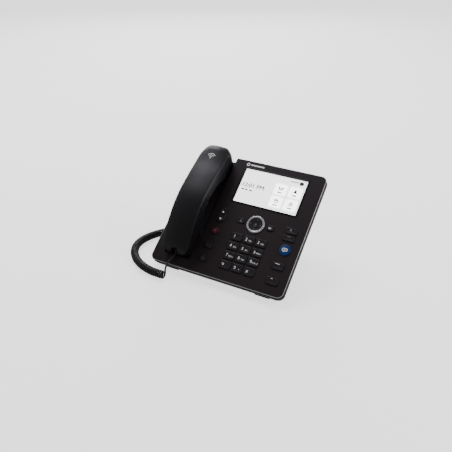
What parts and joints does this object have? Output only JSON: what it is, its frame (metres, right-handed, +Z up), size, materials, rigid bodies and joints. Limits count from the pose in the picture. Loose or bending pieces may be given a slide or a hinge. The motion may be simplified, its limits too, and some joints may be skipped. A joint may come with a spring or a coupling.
{
  "type": "desk ip phone",
  "caption": "Desk telephone with a tilted face, colour touch display, dial pad, navigation ring, bowed handset on a side cradle, curly cord and a folding rear stand",
  "frame": {"origin": "centre of the phone's footprint, on the desk under its feet, the free handset cord left out", "axes": "+X to the user's right along the face's front edge, +Y away from the user, +Z up; the face is tilted 35 degrees"},
  "size_m": [0.2902, 0.2112, 0.1602],
  "materials": {
    "cover_plastic": "fine matt texture, near black with a brown cast",
    "shell_plastic": "matt moulded black",
    "edge_metal": "satin silver line",
    "lens_glass": "clear touch glass",
    "display_panel": "lit white screen",
    "circuit_board": "green solder mask",
    "silicone": "grey silicone",
    "speaker_paper": "dark cone and steel can",
    "switch_plastic": "dark engineering plastic",
    "socket_plastic": "black moulded sockets",
    "foot_rubber": "soft black rubber",
    "steel": "zinc-plated steel",
    "handset_plastic": "satin charcoal",
    "cord_jacket": "smooth black jacket",
    "plug_plastic": "clear moulded plug",
    "key_plastic": "satin black keys with light legends",
    "mute_plastic": "black key with a red lit sign",
    "blue_plastic": "blue key with a white sign",
    "ring_metal": "brushed silver ring"
  },
  "bodies": {
    "base": {"top_cover": "cover_plastic", "edge_trim": "edge_metal", "bottom_cover": "shell_plastic", "display_lens": "lens_glass", "display_module": "display_panel", "main_board": "circuit_board", "keypad_board": "circuit_board", "key_mat": "silicone", "speaker_driver": "speaker_paper", "base_microphone": "speaker_paper", "hook_switch": "switch_plastic", "handset_jack": "socket_plastic", "headset_jack": "socket_plastic", "lan_jack": "socket_plastic", "pc_jack": "socket_plastic", "power_jack": "socket_plastic", "front_feet": "foot_rubber", "hinge_pins": "steel", "screws": "steel", "base_plug": "plug_plastic", "cord_coil": "cord_jacket", "cord_handset_end": "cord_jacket", "cord_base_end": "cord_jacket"},
    "stand": {"stand_leg": "shell_plastic", "stand_feet": "foot_rubber"},
    "hook": {"hook_plunger": "shell_plastic"},
    "handset": {"handset_upper_shell": "handset_plastic", "handset_lower_shell": "handset_plastic", "receiver_capsule": "speaker_paper", "handset_microphone": "speaker_paper", "handset_socket": "socket_plastic", "handset_screws": "steel", "handset_plug": "plug_plastic"},
    "volume": {"volume_rocker": "key_plastic"},
    "nav_pivot": {"nav_gimbal": "switch_plastic"},
    "nav_pad": {"nav_rocker": "key_plastic", "nav_ring": "ring_metal"},
    "ok": {"ok_button": "key_plastic"},
    "key_1": {"key_1": "key_plastic"},
    "key_2": {"key_2": "key_plastic"},
    "key_3": {"key_3": "key_plastic"},
    "key_4": {"key_4": "key_plastic"},
    "key_5": {"key_5": "key_plastic"},
    "key_6": {"key_6": "key_plastic"},
    "key_7": {"key_7": "key_plastic"},
    "key_8": {"key_8": "key_plastic"},
    "key_9": {"key_9": "key_plastic"},
    "key_star": {"key_star": "key_plastic"},
    "key_0": {"key_0": "key_plastic"},
    "key_hash": {"key_hash": "key_plastic"},
    "mute_key": {"mute_key": "mute_plastic"},
    "headset_key": {"headset_key": "key_plastic"},
    "speaker_key": {"speaker_key": "key_plastic"},
    "back_key": {"back_key": "key_plastic"},
    "menu_key": {"menu_key": "key_plastic"},
    "contacts_key": {"contacts_key": "key_plastic"},
    "messages_key": {"messages_key": "key_plastic"},
    "assistant_button": {"assistant_button": "blue_plastic"},
    "hold_key": {"hold_key": "key_plastic"},
    "transfer_key": {"transfer_key": "key_plastic"}
  },
  "joints": [
    {"name": "stand_fold", "type": "hinge", "parent": "base", "child": "stand", "pos_m": [0, 0.05793, 0.054], "axis": [-1, 0, 0], "range_deg": [0, 75]},
    {"name": "handset_lift", "type": "slide", "parent": "base", "child": "handset", "axis": [0, -0.5736, 0.8192], "range_m": [0, 0.06]},
    {"name": "hook_rise", "type": "slide", "parent": "base", "child": "hook", "axis": [0, -0.5736, 0.8192], "range_m": [0, 0.003]},
    {"name": "volume_tilt", "type": "hinge", "parent": "base", "child": "volume", "pos_m": [-0.028, -0.0043, 0.07301], "axis": [1, 0, 0], "range_deg": [-3.5, 3.5], "stiffness_Nm_per_rad": 0.3},
    {"name": "nav_tip", "type": "hinge", "parent": "base", "child": "nav_pivot", "pos_m": [0.033, -0.00328, 0.07067], "axis": [1, 0, 0], "range_deg": [-2.5, 2.5], "stiffness_Nm_per_rad": 0.3},
    {"name": "nav_roll", "type": "hinge", "parent": "nav_pivot", "child": "nav_pad", "pos_m": [0.033, -0.00328, 0.07067], "axis": [0, 0.8192, 0.5736], "range_deg": [-2.5, 2.5], "stiffness_Nm_per_rad": 0.3},
    {"name": "ok_press", "type": "slide", "parent": "base", "child": "ok", "axis": [0, 0.5736, -0.8192], "range_m": [0, 0.001], "stiffness_N_per_m": 400, "springref_m": -0.001},
    {"name": "key_1_press", "type": "slide", "parent": "base", "child": "key_1", "axis": [0, 0.5736, -0.8192], "range_m": [0, 0.0012], "stiffness_N_per_m": 400, "springref_m": -0.001},
    {"name": "key_2_press", "type": "slide", "parent": "base", "child": "key_2", "axis": [0, 0.5736, -0.8192], "range_m": [0, 0.0012], "stiffness_N_per_m": 400, "springref_m": -0.001},
    {"name": "key_3_press", "type": "slide", "parent": "base", "child": "key_3", "axis": [0, 0.5736, -0.8192], "range_m": [0, 0.0012], "stiffness_N_per_m": 400, "springref_m": -0.001},
    {"name": "key_4_press", "type": "slide", "parent": "base", "child": "key_4", "axis": [0, 0.5736, -0.8192], "range_m": [0, 0.0012], "stiffness_N_per_m": 400, "springref_m": -0.001},
    {"name": "key_5_press", "type": "slide", "parent": "base", "child": "key_5", "axis": [0, 0.5736, -0.8192], "range_m": [0, 0.0012], "stiffness_N_per_m": 400, "springref_m": -0.001},
    {"name": "key_6_press", "type": "slide", "parent": "base", "child": "key_6", "axis": [0, 0.5736, -0.8192], "range_m": [0, 0.0012], "stiffness_N_per_m": 400, "springref_m": -0.001},
    {"name": "key_7_press", "type": "slide", "parent": "base", "child": "key_7", "axis": [0, 0.5736, -0.8192], "range_m": [0, 0.0012], "stiffness_N_per_m": 400, "springref_m": -0.001},
    {"name": "key_8_press", "type": "slide", "parent": "base", "child": "key_8", "axis": [0, 0.5736, -0.8192], "range_m": [0, 0.0012], "stiffness_N_per_m": 400, "springref_m": -0.001},
    {"name": "key_9_press", "type": "slide", "parent": "base", "child": "key_9", "axis": [0, 0.5736, -0.8192], "range_m": [0, 0.0012], "stiffness_N_per_m": 400, "springref_m": -0.001},
    {"name": "key_star_press", "type": "slide", "parent": "base", "child": "key_star", "axis": [0, 0.5736, -0.8192], "range_m": [0, 0.0012], "stiffness_N_per_m": 400, "springref_m": -0.001},
    {"name": "key_0_press", "type": "slide", "parent": "base", "child": "key_0", "axis": [0, 0.5736, -0.8192], "range_m": [0, 0.0012], "stiffness_N_per_m": 400, "springref_m": -0.001},
    {"name": "key_hash_press", "type": "slide", "parent": "base", "child": "key_hash", "axis": [0, 0.5736, -0.8192], "range_m": [0, 0.0012], "stiffness_N_per_m": 400, "springref_m": -0.001},
    {"name": "mute_key_press", "type": "slide", "parent": "base", "child": "mute_key", "axis": [0, 0.5736, -0.8192], "range_m": [0, 0.0012], "stiffness_N_per_m": 400, "springref_m": -0.001},
    {"name": "headset_key_press", "type": "slide", "parent": "base", "child": "headset_key", "axis": [0, 0.5736, -0.8192], "range_m": [0, 0.0012], "stiffness_N_per_m": 400, "springref_m": -0.001},
    {"name": "speaker_key_press", "type": "slide", "parent": "base", "child": "speaker_key", "axis": [0, 0.5736, -0.8192], "range_m": [0, 0.0012], "stiffness_N_per_m": 400, "springref_m": -0.001},
    {"name": "back_key_press", "type": "slide", "parent": "base", "child": "back_key", "axis": [0, 0.5736, -0.8192], "range_m": [0, 0.0012], "stiffness_N_per_m": 400, "springref_m": -0.001},
    {"name": "menu_key_press", "type": "slide", "parent": "base", "child": "menu_key", "axis": [0, 0.5736, -0.8192], "range_m": [0, 0.0012], "stiffness_N_per_m": 400, "springref_m": -0.001},
    {"name": "contacts_key_press", "type": "slide", "parent": "base", "child": "contacts_key", "axis": [0, 0.5736, -0.8192], "range_m": [0, 0.0012], "stiffness_N_per_m": 400, "springref_m": -0.001},
    {"name": "messages_key_press", "type": "slide", "parent": "base", "child": "messages_key", "axis": [0, 0.5736, -0.8192], "range_m": [0, 0.0012], "stiffness_N_per_m": 400, "springref_m": -0.001},
    {"name": "assistant_button_press", "type": "slide", "parent": "base", "child": "assistant_button", "axis": [0, 0.5736, -0.8192], "range_m": [0, 0.0012], "stiffness_N_per_m": 400, "springref_m": -0.001},
    {"name": "hold_key_press", "type": "slide", "parent": "base", "child": "hold_key", "axis": [0, 0.5736, -0.8192], "range_m": [0, 0.0012], "stiffness_N_per_m": 400, "springref_m": -0.001},
    {"name": "transfer_key_press", "type": "slide", "parent": "base", "child": "transfer_key", "axis": [0, 0.5736, -0.8192], "range_m": [0, 0.0012], "stiffness_N_per_m": 400, "springref_m": -0.001}
  ],
  "couplings": [
    {"joint": "hook_rise", "follows": "handset_lift", "ratio": 0.05}
  ]
}
